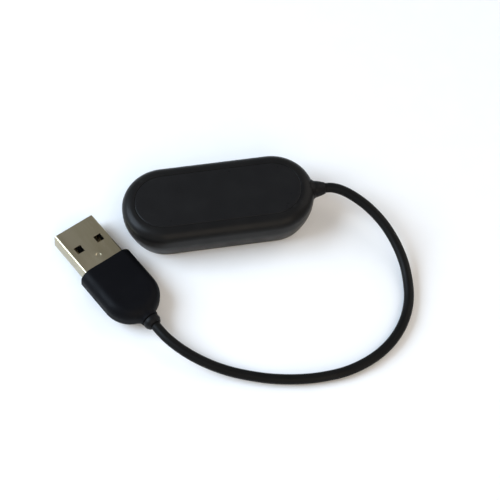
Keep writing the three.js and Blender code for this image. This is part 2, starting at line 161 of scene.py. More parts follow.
PLUG_ROLL = math.radians(-6.5)
SHELL_WIDTH = 12.0
SHELL_HEIGHT = 4.5
SHELL_WALL = 0.3
SHELL_CORNER = 0.6
SHELL_LENGTH = 18.7
WINDOW_X = (5.9, 8.0)
WINDOW_Y = 3.1
WINDOW_WIDTH = 2.1
DIMPLE_X = 11.1
DIMPLE_RADIUS = 0.8
DIMPLE_DEPTH = 0.11
DIMPLE_SLOPE = 0.5              # share of the radius that slopes
FINE_STRIP = 1.05               # half the width of the strip with closer points round the dimple
FOLD_SEAM_HALF = 0.05
FOLD_SEAM_DEPTH = 0.06
SHELL_EDGE = 0.06
GRIP_FRONT = 13.9
GRIP_HALF_WIDTH = 7.6
GRIP_THICKNESS = 6.8
GRIP_REAR_CENTRE = 24.8
GRIP_EDGE = 2.8
GRIP_FRONT_ROUNDING = 0.28
GRIP_BORE = 2.1
NECK_RADIUS = 2.4
NECK_END = 33.2
NECK_BLEND = 1.1
NECK_ROUNDING = 0.2
SLOT_HALF_WIDTH = 6.15          # of the grip's hollow, for the shell and for the inner mould
SLOT_HALF_HEIGHT = 2.4
SLOT_CORNER = 0.6
SLOT_FLARE = 0.1
MOULD_ROOM_X = (18.95, 26.7)
MOULD_ROOM_HALF_HEIGHT = 2.65
MOULD_ROOM_CORNER = 0.3

PLUG_SLEEVE_START = 29
PLUG_SLEEVE_RADIUS = 1.95
PLUG_RING_START = 33.4
PLUG_RING_TAPER = 34.4
PLUG_RING_END = 35.3
PLUG_RING_RADIUS = 2.25
PLUG_RING_TIP_RADIUS = 1.75

# The cable's middle line in metres, from the cradle's collar round the loop to the plug's collar.
CABLE_ROUTE = [
    (0.0286, 0, 0.0082), (0.0302, -0.0002, 0.0082), (0.0322, -0.001, 0.0081),
    (0.0347, -0.0027, 0.0078), (0.038, -0.0058, 0.0071), (0.0409, -0.0095, 0.0061),
    (0.0431, -0.0134, 0.0049), (0.0447, -0.0178, 0.0037), (0.0456, -0.0223, 0.0026),
    (0.0457, -0.0269, 0.0018), (0.0451, -0.0316, 0.0014), (0.0435, -0.0361, 0.0014),
    (0.041, -0.0402, 0.0014), (0.0377, -0.0437, 0.0014), (0.0339, -0.0464, 0.0014),
    (0.0296, -0.0484, 0.0014), (0.025, -0.0497, 0.0014), (0.0203, -0.0502, 0.0014),
    (0.0155, -0.0502, 0.0014), (0.0108, -0.0497, 0.0014), (0.0062, -0.0488, 0.0014),
    (0.0016, -0.0475, 0.0016), (-0.0029, -0.0459, 0.0019), (-0.0072, -0.0439, 0.0024),
    (-0.0112, -0.0414, 0.0029), (-0.0148, -0.0385, 0.0034), (-0.0179, -0.0352, 0.0038),
    (-0.01945, -0.03295, 0.00393), (-0.02036, -0.03142, 0.00394),
]
COLLAR_END_X = 28.3             # where the cable leaves the cradle's collar
CABLE_START_X = 25.15           # inside the cradle's collar
PLUG_CABLE_END = 35.1           # inside the plug's collar, in the plug's own frame


# ---------- camera ----------

CAMERA_TARGET = Vector((6.757, -11.145, 0)) * MM
CAMERA_DISTANCE = 0.3688
CAMERA_ELEVATION = math.radians(61.37)
CAMERA_AZIMUTH = math.radians(-9.285)
CAMERA_ROLL = math.radians(0.867)
CAMERA_LENS = 100.8


def make_camera():
    """The camera at the photograph's angle, with +Z up in the picture apart from a slight roll."""
    flat = math.cos(CAMERA_ELEVATION)
    back = Vector((
        math.sin(CAMERA_AZIMUTH) * flat, -math.cos(CAMERA_AZIMUTH) * flat, math.sin(CAMERA_ELEVATION)))
    right = Vector((math.cos(CAMERA_AZIMUTH), math.sin(CAMERA_AZIMUTH), 0))
    up = back.cross(right)
    turned_right = right * math.cos(CAMERA_ROLL) + up * math.sin(CAMERA_ROLL)
    turned_up = up * math.cos(CAMERA_ROLL) - right * math.sin(CAMERA_ROLL)
    data = bpy.data.cameras.new("camera")
    data.lens = CAMERA_LENS
    data.clip_start = 0.01
    camera = bpy.data.objects.new("camera", data)
    bpy.context.scene.collection.objects.link(camera)
    camera.matrix_world = Matrix.Translation(CAMERA_TARGET + back * CAMERA_DISTANCE) @ Matrix(
        (turned_right, turned_up, back)).transposed().to_4x4()
    bpy.context.scene.camera = camera


# ---------- materials ----------

class Finish:
    """A node material on one Principled shader, with its textures in the object's own space."""

    def __init__(self, name, turn=(0, 0, 0), stretch=(1, 1, 1)):
        self.material = bpy.data.materials.new(name)
        self.material["slot"] = name
        self.material.use_nodes = True
        self.tree = self.material.node_tree
        self.shader = self.tree.nodes["Principled BSDF"]
        place = self.node("ShaderNodeMapping")
        place.vector_type = "TEXTURE"
        place.inputs["Rotation"].default_value = turn
        place.inputs["Scale"].default_value = stretch
        self.link(self.node("ShaderNodeTexCoord").outputs["Object"], place.inputs["Vector"])
        self.place = place.outputs["Vector"]
        self.heights = None

    def node(self, kind):
        return self.tree.nodes.new(kind)

    def link(self, source, target):
        self.tree.links.new(source, target)

    def set(self, **values):
        """Constant values on the shader's own sockets, such as Coat_Weight=0.2."""
        for name, value in values.items():
            self.shader.inputs[name.replace("_", " ")].default_value = value
        return self

    def noise(self, size, detail=3.0, distortion=0.0):
        """Noise with features of about this many millimetres."""
        node = self.node("ShaderNodeTexNoise")
        node.inputs["Scale"].default_value = 1 / (size * MM)
        node.inputs["Detail"].default_value = detail
        node.inputs["Distortion"].default_value = distortion
        self.link(self.place, node.inputs["Vector"])
        return node.outputs["Fac"]

    def cells(self, size):
        """Rounded cells of about this many millimetres, as on a spark-eroded mould."""
        node = self.node("ShaderNodeTexVoronoi")
        node.feature = "SMOOTH_F1"
        node.inputs["Scale"].default_value = 1 / (size * MM)
        self.link(self.place, node.inputs["Vector"])
        return node.outputs["Distance"]

    def edges(self, start=0.52, end=0.6):
        """1 on outside edges and 0 elsewhere."""
        return self.spread(self.node("ShaderNodeNewGeometry").outputs["Pointiness"], start, end, 0, 1)

    def spread(self, source, low, high, to_low, to_high):
        """Maps a value's range low..high to another one, and clamps it."""
        node = self.node("ShaderNodeMapRange")
        for name, value in zip(
                ("From Min", "From Max", "To Min", "To Max"), (low, high, to_low, to_high)):
            node.inputs[name].default_value = value
        self.link(source, node.inputs["Value"])
        return node.outputs["Result"]

    def times(self, first, second):
        node = self.node("ShaderNodeMath")
        node.operation = "MULTIPLY"
        self.link(first, node.inputs[0])
        self.link(second, node.inputs[1])
        return node.outputs["Value"]

    def mix(self, factor, first, second):
        """A colour between two colours, each a triple or another node's colour."""
        node = self.node("ShaderNodeMix")
        node.data_type = "RGBA"
        self.link(factor, node.inputs["Factor"])
        for name, colour in (("A", first), ("B", second)):
            socket = next(s for s in node.inputs if s.name == name and s.type == "RGBA")
            if isinstance(colour, tuple):
                socket.default_value = (*colour, 1)
            else:
                self.link(colour, socket)
        return next(s for s in node.outputs if s.type == "RGBA")

    def colour(self, source):
        self.link(source, self.shader.inputs["Base Color"])
        return self

    def roughness(self, source):
        self.link(source, self.shader.inputs["Roughness"])
        return self

    def bump(self, height, depth, strength=1.0):
        """Adds relief of this many millimetres to what is there."""
        node = self.node("ShaderNodeBump")
        node.inputs["Strength"].default_value = strength
        node.inputs["Distance"].default_value = depth * MM
        self.link(height, node.inputs["Height"])
        if self.heights is not None:
            self.link(self.heights, node.inputs["Normal"])
        self.heights = node.outputs["Normal"]
        self.link(self.heights, self.shader.inputs["Normal"])
        return self


def moulded(name, colour, faded, dust, rough, grain=0.16, relief=0.006, worn=0.25, gloss=0.11):
    """Moulded plastic or rubber: eroded grain, uneven gloss, paler worn edges and a little dust."""
    finish = Finish(name)
    patches = finish.spread(finish.noise(9, 4), 0.35, 0.65, 0, 1)
    specks = finish.spread(finish.noise(0.16, 1), 0.76, 0.82, 0, 0.3)
    wear = finish.times(finish.edges(), finish.spread(finish.noise(1.3, 4), 0.4, 0.65, 0, worn))
    body = finish.mix(patches, colour, faded)
    finish.colour(finish.mix(specks, finish.mix(wear, body, dust), dust))
    finish.roughness(finish.spread(finish.noise(4, 5), 0.3, 0.7, rough - 0.06, rough + 0.07))
    finish.bump(finish.cells(grain), relief)
    finish.bump(finish.noise(2.4, 3), relief * 3, 0.5)
    return finish.set(Specular_IOR_Level=gloss)


def shell_plastic():
    return moulded(
        "shell_plastic", (0.0066, 0.0065, 0.0066), (0.0082, 0.0079, 0.0077), (0.026, 0.026, 0.025),
        0.34, gloss=0.1).material


def cover_plastic():
    return moulded(
        "cover_plastic", (0.0074, 0.0073, 0.0077), (0.0086, 0.0085, 0.0088), (0.020, 0.020, 0.020),
        0.33, grain=0.13, relief=0.003, gloss=0.135).material


def tray_plastic():
    return moulded(
        "tray_plastic", (0.0105, 0.0105, 0.0110), (0.0150, 0.0150, 0.0150), (0.06, 0.06, 0.058),
        0.5, grain=0.2, relief=0.009).material


def grip_plastic():
    return moulded(
        "grip_plastic", (0.0030, 0.0032, 0.0042), (0.0042, 0.0044, 0.0056), (0.020, 0.021, 0.023),
        0.46, grain=0.2, relief=0.008, gloss=0.05).material


def cable_jacket():
    """Soft jacket: fine grain, slightly worn edges and a slightly bloomed surface."""
    finish = moulded(
        "cable_jacket", (0.0026, 0.0025, 0.0024), (0.0046, 0.0044, 0.0041), (0.024, 0.024, 0.022),
        0.46, grain=0.12, relief=0.005, worn=0.1, gloss=0.1)
    return finish.set(Sheen_Weight=0.02, Sheen_Roughness=0.4).material


def collar_rubber():
    return moulded(
        "collar_rubber", (0.0034, 0.0034, 0.0038), (0.0052, 0.0052, 0.0056), (0.024, 0.024, 0.024),
        0.44, grain=0.14).material


def nickel_shell(turn):
    """Rolled, nickel-plated sheet: faint lengthways rolling lines, stray scratches, warm dull patches."""
    finish = Finish("nickel_shell", turn, (9, 1, 1))
    lines = finish.noise(0.12, 3)
    scratches = finish.spread(finish.noise(0.3, 2, 0.4), 0.66, 0.74, 0, 0.5)
    patches = finish.spread(finish.noise(2.6, 4), 0.35, 0.65, 0, 1)
    base = finish.mix(patches, (0.39, 0.345, 0.235), (0.45, 0.40, 0.285))
    finish.colour(finish.mix(scratches, base, (0.52, 0.48, 0.38)))
    finish.roughness(finish.spread(lines, 0.3, 0.7, 0.31, 0.37))
    finish.bump(lines, 0.0007)
    finish.bump(scratches, 0.001, 0.3)
    return finish.set(Metallic=1.0, Anisotropic=0.2).material


def metal(name, colour, tarnish, rough):
    """Plated or drawn metal with tarnished patches and fine tool marks."""
    finish = Finish(name)
    patches = finish.spread(finish.noise(0.8, 4), 0.42, 0.68, 0, 1)
    finish.colour(finish.mix(patches, colour, tarnish))
    finish.roughness(finish.spread(finish.noise(0.3, 4), 0.3, 0.7, rough - 0.07, rough + 0.1))
    tool_marks = finish.noise(0.08, 2)
    finish.bump(tool_marks, 0.002)
    return finish.set(Metallic=1.0).material


def board_laminate():
    """Green solder resist over glass weave, with paler copper tracks under it."""
    finish = Finish("board_laminate")
    weave = finish.noise(0.12, 1)
    tracks = finish.spread(finish.noise(1.6, 0, 0.6), 0.5, 0.53, 0, 1)
    base = finish.mix(weave, (0.006, 0.045, 0.016), (0.010, 0.062, 0.022))
    finish.colour(finish.mix(tracks, base, (0.02, 0.115, 0.04)))
    finish.roughness(finish.spread(weave, 0.3, 0.7, 0.28, 0.4))
    finish.bump(tracks, 0.03)
    finish.bump(weave, 0.004)
    return finish.set(Coat_Weight=0.3, Coat_Roughness=0.15).material


def chip_body():
    finish = Finish("chip_body")
    speckle = finish.noise(0.07, 3)
    finish.colour(finish.mix(speckle, (0.012, 0.011, 0.010), (0.035, 0.032, 0.028)))
    finish.roughness(finish.spread(speckle, 0.3, 0.7, 0.45, 0.65))
    finish.bump(speckle, 0.004)
    return finish.material


def pale_mould():
    """Unpainted off-white moulding with slight flow marks."""
    finish = Finish("pale_mould")
    flow = finish.noise(2.5, 4, 1.5)
    finish.colour(finish.mix(flow, (0.62, 0.60, 0.54), (0.74, 0.72, 0.66)))
    finish.roughness(finish.spread(flow, 0.3, 0.7, 0.48, 0.62))
    finish.bump(finish.cells(0.12), 0.004)
    return finish.set(Subsurface_Weight=0.1, Subsurface_Radius=(0.001, 0.001, 0.001)).material


def carrier_nylon():
    """Black glass-filled nylon with short pale fibres near its surface."""
    return moulded(
        "carrier_nylon", (0.010, 0.010, 0.0095), (0.015, 0.0148, 0.014), (0.06, 0.06, 0.055),
        0.55, grain=0.1, relief=0.006).material


def insulation(name, colour, faded):
    finish = Finish(name)
    streaks = finish.noise(0.6, 3)
    finish.colour(finish.mix(streaks, colour, faded))
    finish.roughness(finish.spread(streaks, 0.3, 0.7, 0.35, 0.5))
    finish.bump(finish.noise(0.1, 2), 0.003)
    return finish.material


def pale_floor():
    """Plain matt table top."""
    finish = Finish("pale_floor")
    mottle = finish.noise(6, 4)
    finish.colour(finish.mix(mottle, (0.80, 0.80, 0.80), (0.83, 0.83, 0.83)))
    finish.roughness(finish.spread(mottle, 0.3, 0.7, 0.55, 0.65))
    return finish.material


# ---------- mesh building ----------

def steps(count):
    """Evenly spaced values from 0 to 1."""
    return [i / count for i in range(count + 1)]


def rounded(corners, closed=True):
    """An outline whose corners are given as (a, b, rounding). Each is rounded by that length."""
    arc_steps = 4
    longest = 0.48              # a rounding's share of its side, so that two always fit
    points = []
    for i, (a, b, rounding) in enumerate(corners):
        here = Vector((a, b))
        ends_here = not closed and i in (0, len(corners) - 1)
        if rounding == 0 or ends_here:
            points.append(here)
            continue
        before = Vector(corners[i - 1][:2]) - here
        after = Vector(corners[(i + 1) % len(corners)][:2]) - here
        start = here + before.normalized() * min(rounding, before.length * longest)
        end = here + after.normalized() * min(rounding, after.length * longest)
        points += [
            start * (1 - t) ** 2 + here * 2 * t * (1 - t) + end * t ** 2 for t in steps(arc_steps)]
    return points


def loft(rings, closed=False):
    """Skins rings of equal count. A closed loft joins the last ring to the first, else it is capped."""
    count = len(rings[0])
    vertices = [point for ring in rings for point in ring]
    faces = []
    for i in range(len(rings) if closed else len(rings) - 1):
        j = (i + 1) % len(rings)
        for k in range(count):
            m = (k + 1) % count
            faces.append((i * count + k, i * count + m, j * count + m, j * count + k))
    if not closed:
        faces.append(tuple(range(count)))
        faces.append(tuple(range((len(rings) - 1) * count, len(rings) * count)))
    return vertices, faces


def turned_about(axis_point, direction, profile, sides=48, closed=True):
    """A turned shape from (radius, distance along the axis) pairs."""
    along = Vector(direction).normalized()
    across = along.orthogonal().normalized()
    other = along.cross(across)
    turns = [2 * math.pi * k / sides for k in range(sides)]
    rings = [
        [Vector(axis_point) + along * d + (across * math.cos(a) + other * math.sin(a)) * r for a in turns]
        for r, d in profile]
    return loft(rings, closed)


def new_object(name, shape):
    """A mesh object from vertices in millimetres and faces, with its normals facing out."""
    vertices, faces = shape
    mesh = bpy.data.meshes.new(name)
    mesh.from_pydata([tuple(Vector(v) * MM) for v in vertices], [], faces)
    obj = bpy.data.objects.new(name, mesh)
    bpy.context.scene.collection.objects.link(obj)
    clean(obj)
    return obj


def clean(obj):
    """Merges doubled vertices and turns all faces outwards."""
    same_place = 1e-7
    work = bmesh.new()
    work.from_mesh(obj.data)
    bmesh.ops.remove_doubles(work, verts=work.verts, dist=same_place)
    bmesh.ops.dissolve_degenerate(work, edges=work.edges, dist=same_place)
    bmesh.ops.recalc_face_normals(work, faces=work.faces)
    work.to_mesh(obj.data)
    work.free()


def apply_modifiers(obj):
    """Puts the result of the object's modifiers into its mesh."""
    evaluated = obj.evaluated_get(bpy.context.evaluated_depsgraph_get())
    result = bpy.data.meshes.new_from_object(evaluated)
    obj.modifiers.clear()
    old = obj.data
    obj.data = result
    bpy.data.meshes.remove(old)


def combine(obj, operation, *shapes):
    """Joins shapes to the object (UNION) or cuts them out of it (DIFFERENCE)."""
    for shape in shapes:
        tool = new_object("tool", shape)
        modifier = obj.modifiers.new("combine", "BOOLEAN")
        modifier.operation = operation
        modifier.solver = "EXACT"
        modifier.object = tool
        apply_modifiers(obj)
        mesh = tool.data
        bpy.data.objects.remove(tool)
        bpy.data.meshes.remove(mesh)
    clean(obj)


def dress(obj, material, body="cradle", replaced=(), crease=35):
    """Smooth shading with creases, the material, the body it rides on and the CAD nodes it stands for."""
    obj.data.materials.clear()
    obj.data.materials.append(material)
    obj.data.shade_smooth()
    obj.data.set_sharp_from_angle(angle=math.radians(crease))
    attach(obj, body)
    if replaced:
        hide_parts(*replaced)
    return obj


def block(x0, x1, y0, y1, z0, z1):
    """A box between two corners, as vertices and faces."""
    corners = [(x, y, z) for z in (z0, z1) for x, y in ((x0, y0), (x1, y0), (x1, y1), (x0, y1))]
    return loft([corners[:4], corners[4:]])


# ---------- cradle ----------

END_STEPS = 64
STRAIGHT_STEPS = 20


def pill_outline():
    """Points round the pill, each as (middle along X, unit x, unit y) of its own end's circle."""
    points = []
    for side in (1, -1):
        for t in steps(END_STEPS):
            angle = math.pi * (t - 0.5)
            points.append((side * HALF_STRAIGHT, side * math.cos(angle), side * math.sin(angle)))
        for t in steps(STRAIGHT_STEPS)[1:-1]:
            points.append((side * HALF_STRAIGHT * (1 - 2 * t), 0, side))
    return points


def pill(profile, closed=False):
    """A pill-shaped loft from (inset from the widest outline, height) pairs."""
    outline = pill_outline()
    rings = [
        [(middle + x * (END_RADIUS - inset), y * (END_RADIUS - inset), z) for middle, x, y in outline]
        for inset, z in profile]
    return loft(rings, closed)


def side_inset(z):
    """Inset of the leaning side wall, which is upright from WALL_TOP."""
    return RIM_INSET * (1 - z / WALL_TOP) ** 1.5 if z < WALL_TOP else 0


def shoulder_inset(z):
    """Inset of the outside wall at any height, with the shoulder's ellipse above the side."""
    foot = CRADLE_HEIGHT - SHOULDER_UP
    if z <= foot:
        return side_inset(z)
    return SHOULDER_ACROSS * (1 - math.sqrt(max(0, 1 - ((z - foot) / SHOULDER_UP) ** 2)))


def outer_shell(material):
    """The pill-shaped outside wall, its shoulder, the cover's seat and the cable's hole."""
    rim = RIM_ROUNDING
    side = [(side_inset(t * WALL_TOP), t * WALL_TOP) for t in steps(14)][1:]
    foot = CRADLE_HEIGHT - SHOULDER_UP
    shoulder = [
        (SHOULDER_ACROSS * (1 - math.cos(t * math.pi / 2)), foot + SHOULDER_UP * math.sin(t * math.pi / 2))
        for t in steps(18)]
    seat = rounded([
        (SHOULDER_ACROSS, CRADLE_HEIGHT, 0),
        (COVER_INSET, CRADLE_HEIGHT, SEAT_ROUNDING),
        (COVER_INSET, LEDGE_TOP, 0),
        (LEDGE_INSET, LEDGE_TOP, 0.1),
        (LEDGE_INSET, LEDGE_TOP - LEDGE_THICKNESS, 0.1),
        (SIDE_WALL, LEDGE_TOP - LEDGE_THICKNESS, 0.3),
        (SIDE_WALL, WALL_TOP, 0),
    ], closed=False)[1:]
    inside = [
        (side_inset(z) + RIM_WALL + (SIDE_WALL - RIM_WALL) * z / WALL_TOP, z)
        for z in (WALL_TOP * (1 - t) for t in steps(8))][1:-1]
    bottom = rounded([
        (RIM_INSET + RIM_WALL, rim * 4, 0),
        (RIM_INSET + RIM_WALL, 0, rim),
        (RIM_INSET, 0, rim),
        (RIM_INSET - 0.1, rim * 3, 0),
    ], closed=False)[1:-1]
    obj = new_object("shell_moulding", pill([*side, *shoulder, *seat, *inside, *bottom], closed=True))
    hole_profile = [(EXIT_HOLE_RADIUS, EXIT_NOTCH_X[0]), (EXIT_HOLE_RADIUS, cradle_high.x + 1)]
    hole = turned_about((0, 0, EXIT_HEIGHT), (1, 0, 0), hole_profile, 64, closed=False)
    notch = block(*EXIT_NOTCH_X, -EXIT_NOTCH_HALF_WIDTH, EXIT_NOTCH_HALF_WIDTH, *EXIT_NOTCH_Z)
    combine(obj, "DIFFERENCE", hole, notch)
    dress(obj, material, replaced=["outer_shell"])


def back_cover(material):
    """The inset oval plate."""
    inset = COVER_INSET + COVER_FIT
    profile = rounded([
        (inset + 1, LEDGE_TOP + SEAM, 0),
        (inset, LEDGE_TOP + SEAM, 0.1),
        (inset, CRADLE_HEIGHT, COVER_ROUNDING),
        (inset + 1.2, CRADLE_HEIGHT, 0),
    ], closed=False)
    obj = new_object("cover_plate", pill(profile))
    dress(obj, material, replaced=["back_cover"])


def grip_rib(side, end):
    """A round-ended rib that leans with the recess wall and presses on the capsule."""
    lean = math.atan((RECESS_FLOOR_INSET - RECESS_MOUTH_INSET) / RECESS_DEPTH)
    wall = END_RADIUS - (RECESS_MOUTH_INSET + RECESS_FLOOR_INSET) / 2
    middle = (end * RIB_X, side * (wall + RIB_RADIUS - RIB_PROUD), RECESS_DEPTH / 2)
    direction = (0, -side * math.sin(lean), math.cos(lean))
    half = RIB_HEIGHT / 2 - RIB_RADIUS
    cap = [(RIB_RADIUS * math.cos(a), half + RIB_RADIUS * math.sin(a))
           for a in (math.pi / 2 * t for t in steps(8)[:-1])]
    profile = [(r, -d) for r, d in reversed(cap)] + cap
    return turned_about(middle, direction, profile, 32, closed=False)


def board_post(side):
    """A post with a flattened head that holds the circuit board."""
    return turned_about((POST_X, side * POST_Y, 0), (0, 0, 1), POST_PROFILE, 32, closed=False)


def cradle_tray(material):
    """The recess liner with its grip ribs, board posts and the holes for the pins."""
    profile = rounded([
        (RECESS_FLOOR_INSET + 1.5, RECESS_DEPTH, 0),
        (RECESS_FLOOR_INSET, RECESS_DEPTH, 0.6),
        (RECESS_MOUTH_INSET, 0.35, 0.35),
        (RECESS_MOUTH_INSET - 0.15, 0, 0.1),
        (TRAY_OUTER_INSET, 0, 0.15),
        (TRAY_OUTER_INSET, TRAY_SKIRT, 0.1),
        (TRAY_BACK_INSET, TRAY_BACK, 0.3),
        (TRAY_BACK_INSET + 1.5, TRAY_BACK, 0),
    ], closed=False)
    obj = new_object("recess_liner", pill(profile))
    signs = (1, -1)
    combine(obj, "UNION", *[grip_rib(side, end) for side in signs for end in signs])
    combine(obj, "UNION", *[board_post(side) for side in signs])
    hole = [(PIN_HOLE_RADIUS, height) for height in PIN_HOLE_HEIGHTS]
    combine(obj, "DIFFERENCE", *[
        turned_about((pin.x, pin.y, 0), (0, 0, 1), hole, 40, closed=False)
        for pin in (pin_axis("left"), pin_axis("right"))])
    dress(obj, material, replaced=["cradle_tray"])


def pin_axis(hand):
    """The middle of a charging pin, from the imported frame."""
    low, high = box_mm(f"pogo_plunger_{hand}")
    return (low + high) / 2


def sleeve_profile():
    return rounded([
        (SLEEVE_MOUTH_RADIUS, SLEEVE_MOUTH, 0.06),
        (SLEEVE_RADIUS, SLEEVE_MOUTH, 0.12),
        (SLEEVE_RADIUS, SLEEVE_FLANGE_BOTTOM, 0.05),
        (SLEEVE_FLANGE_RADIUS, SLEEVE_FLANGE_BOTTOM, 0.06),
        (SLEEVE_FLANGE_RADIUS, SLEEVE_FLANGE_TOP, 0.06),
        (SLEEVE_RADIUS, SLEEVE_FLANGE_TOP, 0.05),
        (SLEEVE_RADIUS, SLEEVE_TOP, 0.15),
        (NEAR_AXIS, SLEEVE_TOP, 0),
        (NEAR_AXIS, SLEEVE_BORE_END, 0),
        (SLEEVE_BORE, SLEEVE_BORE_END, 0.1),
        (SLEEVE_BORE, SLEEVE_LIP_TOP, 0.05),
        (SLEEVE_MOUTH_RADIUS, SLEEVE_LIP_TOP, 0.05),
    ])


def plunger_profile():
    """A round nose, a rod and the wider head that the sleeve's lip holds back."""
    nose = [(PLUNGER_RADIUS * math.sin(a), PLUNGER_TIP + PLUNGER_RADIUS * (1 - math.cos(a)))
            for a in (math.pi / 2 * t for t in steps(10)[1:])]
    shank = rounded([
        (PLUNGER_RADIUS, 5.2, 0),
        (PLUNGER_RADIUS, PLUNGER_HEAD_BOTTOM, 0.05),
        (PLUNGER_HEAD_RADIUS, PLUNGER_HEAD_BOTTOM, 0.06),
        (PLUNGER_HEAD_RADIUS, PLUNGER_HEAD_TOP, 0.08),
        (0.1, PLUNGER_HEAD_TOP, 0),
    ], closed=False)
    return [*nose, *shank]


def charging_pins(brass, steel):
    """The two sprung pins: sleeve, moving plunger and the spring behind it."""
    for hand in ("left", "right"):
        axis = pin_axis(hand)
        foot = (axis.x, axis.y, 0)
        sleeve = new_object(f"pin_sleeve_{hand}", turned_about(foot, (0, 0, 1), sleeve_profile()))
        dress(sleeve, brass, replaced=[f"pogo_barrel_{hand}"])
        plunger = new_object(
            f"pin_plunger_{hand}", turned_about(foot, (0, 0, 1), plunger_profile(), closed=False))
        dress(plunger, brass, body=f"pin_{hand}", replaced=[f"pogo_plunger_{hand}"])
        spring = new_object(f"pin_spring_{hand}", helix(foot))
        dress(spring, steel, replaced=[f"pogo_spring_{hand}"])
        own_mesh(spring)


def helix(foot):
    """A coil spring with flattened end turns."""
    steps_per_turn = 24
    travel = SPRING_TOP - SPRING_BOTTOM - 2 * SPRING_WIRE
    rising_turns = SPRING_TURNS - 2 * SPRING_FLAT_TURNS
    points = []
    for t in steps(SPRING_TURNS * steps_per_turn):
        angle = 2 * math.pi * SPRING_TURNS * t
        rise = min(max((t * SPRING_TURNS - SPRING_FLAT_TURNS) / rising_turns, 0), 1)
        points.append(Vector((
            foot[0] + SPRING_RADIUS * math.cos(angle),
            foot[1] + SPRING_RADIUS * math.sin(angle),
            SPRING_BOTTOM + SPRING_WIRE + travel * rise)))
    return sweep(points, SPRING_WIRE, 10)


# ---------- cable and collars ----------

def smooth_line(points, per_span=8):
    """A centripetal Catmull-Rom curve through the points."""
    given = [Vector(p) for p in points]
    padded = [given[0] * 2 - given[1], *given, given[-1] * 2 - given[-2]]
    line = [given[0]]
    for a, b, c, d in zip(padded, padded[1:], padded[2:], padded[3:]):
        before, here, after = ((q - p).length ** 0.5 for p, q in ((a, b), (b, c), (c, d)))
        leave = ((b - a) / before - (c - a) / (before + here) + (c - b) / here) * here
        arrive = ((c - b) / here - (d - b) / (here + after) + (d - c) / after) * here
        for t in steps(per_span)[1:]:
            line.append(
                b * (2 * t ** 3 - 3 * t ** 2 + 1) + leave * (t ** 3 - 2 * t ** 2 + t)
                + c * (3 * t ** 2 - 2 * t ** 3) + arrive * (t ** 3 - t ** 2))
    return line


def sweep(points, radius, sides):
    """A round tube along points, with its section carried along without twist."""
    along = [(b - a).normalized() for a, b in zip(points, points[1:])]
    directions = [along[0], *[(a + b).normalized() for a, b in zip(along, along[1:])], along[-1]]
    across = directions[0].orthogonal().normalized()
    rings = []
    for point, direction in zip(points, directions):
        across = (across - direction * across.dot(direction)).normalized()
        other = direction.cross(across)
        rings.append([
            point + (across * math.cos(a) + other * math.sin(a)) * radius
            for a in (2 * math.pi * k / sides for k in range(sides))])
    return loft(rings)


def cable(material):
    """The free cable. It runs on into the bore of both collars."""
    inside = Vector((CABLE_START_X, 0, EXIT_HEIGHT)) * MM
    plug_end = plug_to_frame @ Vector((PLUG_CABLE_END, 0, 0)) * MM
    line = smooth_line([inside, *CABLE_ROUTE, plug_end])
    obj = new_object("cable_jacket", sweep([p / MM for p in line], CABLE_RADIUS, 28))
    dress(obj, material, replaced=["cable"])


def wall_x(y, z):
    """Where the cradle's outside wall is at its cable end."""
    radius = END_RADIUS - shoulder_inset(z)
    return HALF_STRAIGHT + math.sqrt(radius ** 2 - y ** 2)


def collar_ring(radius, place):
    """A ring of the cradle's collar. place(y, z) says where each of its points is along X."""
    count = 64
    turns = [2 * math.pi * k / count for k in range(count)]
    sections = [(radius * math.cos(a), EXIT_HEIGHT + radius * math.sin(a)) for a in turns]
    return [(place(y, z), y, z) for y, z in sections]


def dock_collar(material):
    """The cradle's tapered strain relief. A thin skirt follows the wall that it comes out of."""
    cone_length = COLLAR_END_X - COLLAR_TIP_ROUNDING - COLLAR_CONE_START

    def off_wall(gap):
        return lambda y, z: wall_x(y, z) + gap

    def at(x):
        return lambda y, z: x

    def towards_cone(t):
        return lambda y, z: (wall_x(y, z) + SKIRT_FRONT) * (1 - t) + COLLAR_CONE_START * t

    rings = [
        collar_ring(COLLAR_RADIUS, at(COLLAR_FLANGE_X)),
        collar_ring(COLLAR_RADIUS, off_wall(-0.3)),
        collar_ring(COLLAR_RADIUS, off_wall(SKIRT_BACK)),
        collar_ring(SKIRT_RADIUS, off_wall(SKIRT_BACK)),
        collar_ring(SKIRT_RADIUS, off_wall(SKIRT_FRONT)),
    ]
    for t in steps(8)[1:]:
        radius = COLLAR_ROOT_RADIUS + (SKIRT_RADIUS - COLLAR_ROOT_RADIUS) * (1 - t) ** 2
        rings.append(collar_ring(radius, towards_cone(t)))
    for t in steps(10)[1:]:
        radius = COLLAR_TIP_RADIUS + (COLLAR_ROOT_RADIUS - COLLAR_TIP_RADIUS) * (1 - t ** 1.25)
        rings.append(collar_ring(radius, at(COLLAR_CONE_START + cone_length * t)))
    rings.append(collar_ring(COLLAR_TIP_RADIUS - COLLAR_TIP_ROUNDING, at(COLLAR_END_X)))
    rings.append(collar_ring(JACKET_BORE, at(COLLAR_END_X)))
    rings.append(collar_ring(JACKET_BORE, at(COLLAR_FLANGE_X)))
    obj = new_object("dock_collar", loft(rings, closed=True))
    flange = block(
        COLLAR_FLANGE_X, COLLAR_FLANGE_X + COLLAR_FLANGE_THICKNESS,
        -COLLAR_FLANGE_HALF_WIDTH, COLLAR_FLANGE_HALF_WIDTH,
        EXIT_HEIGHT - COLLAR_RADIUS, EXIT_HEIGHT + COLLAR_RADIUS)
    bore = turned_about(
        (0, 0, EXIT_HEIGHT), (1, 0, 0), [(JACKET_BORE, 21), (JACKET_BORE, 29)], 64, closed=False)
    combine(obj, "UNION", flange)
    combine(obj, "DIFFERENCE", bore)
    return dress(obj, material, replaced=["dock_strain_relief"])


# ---------- plug, in its own frame: +X towards the cable, +Y across it, +Z up ----------

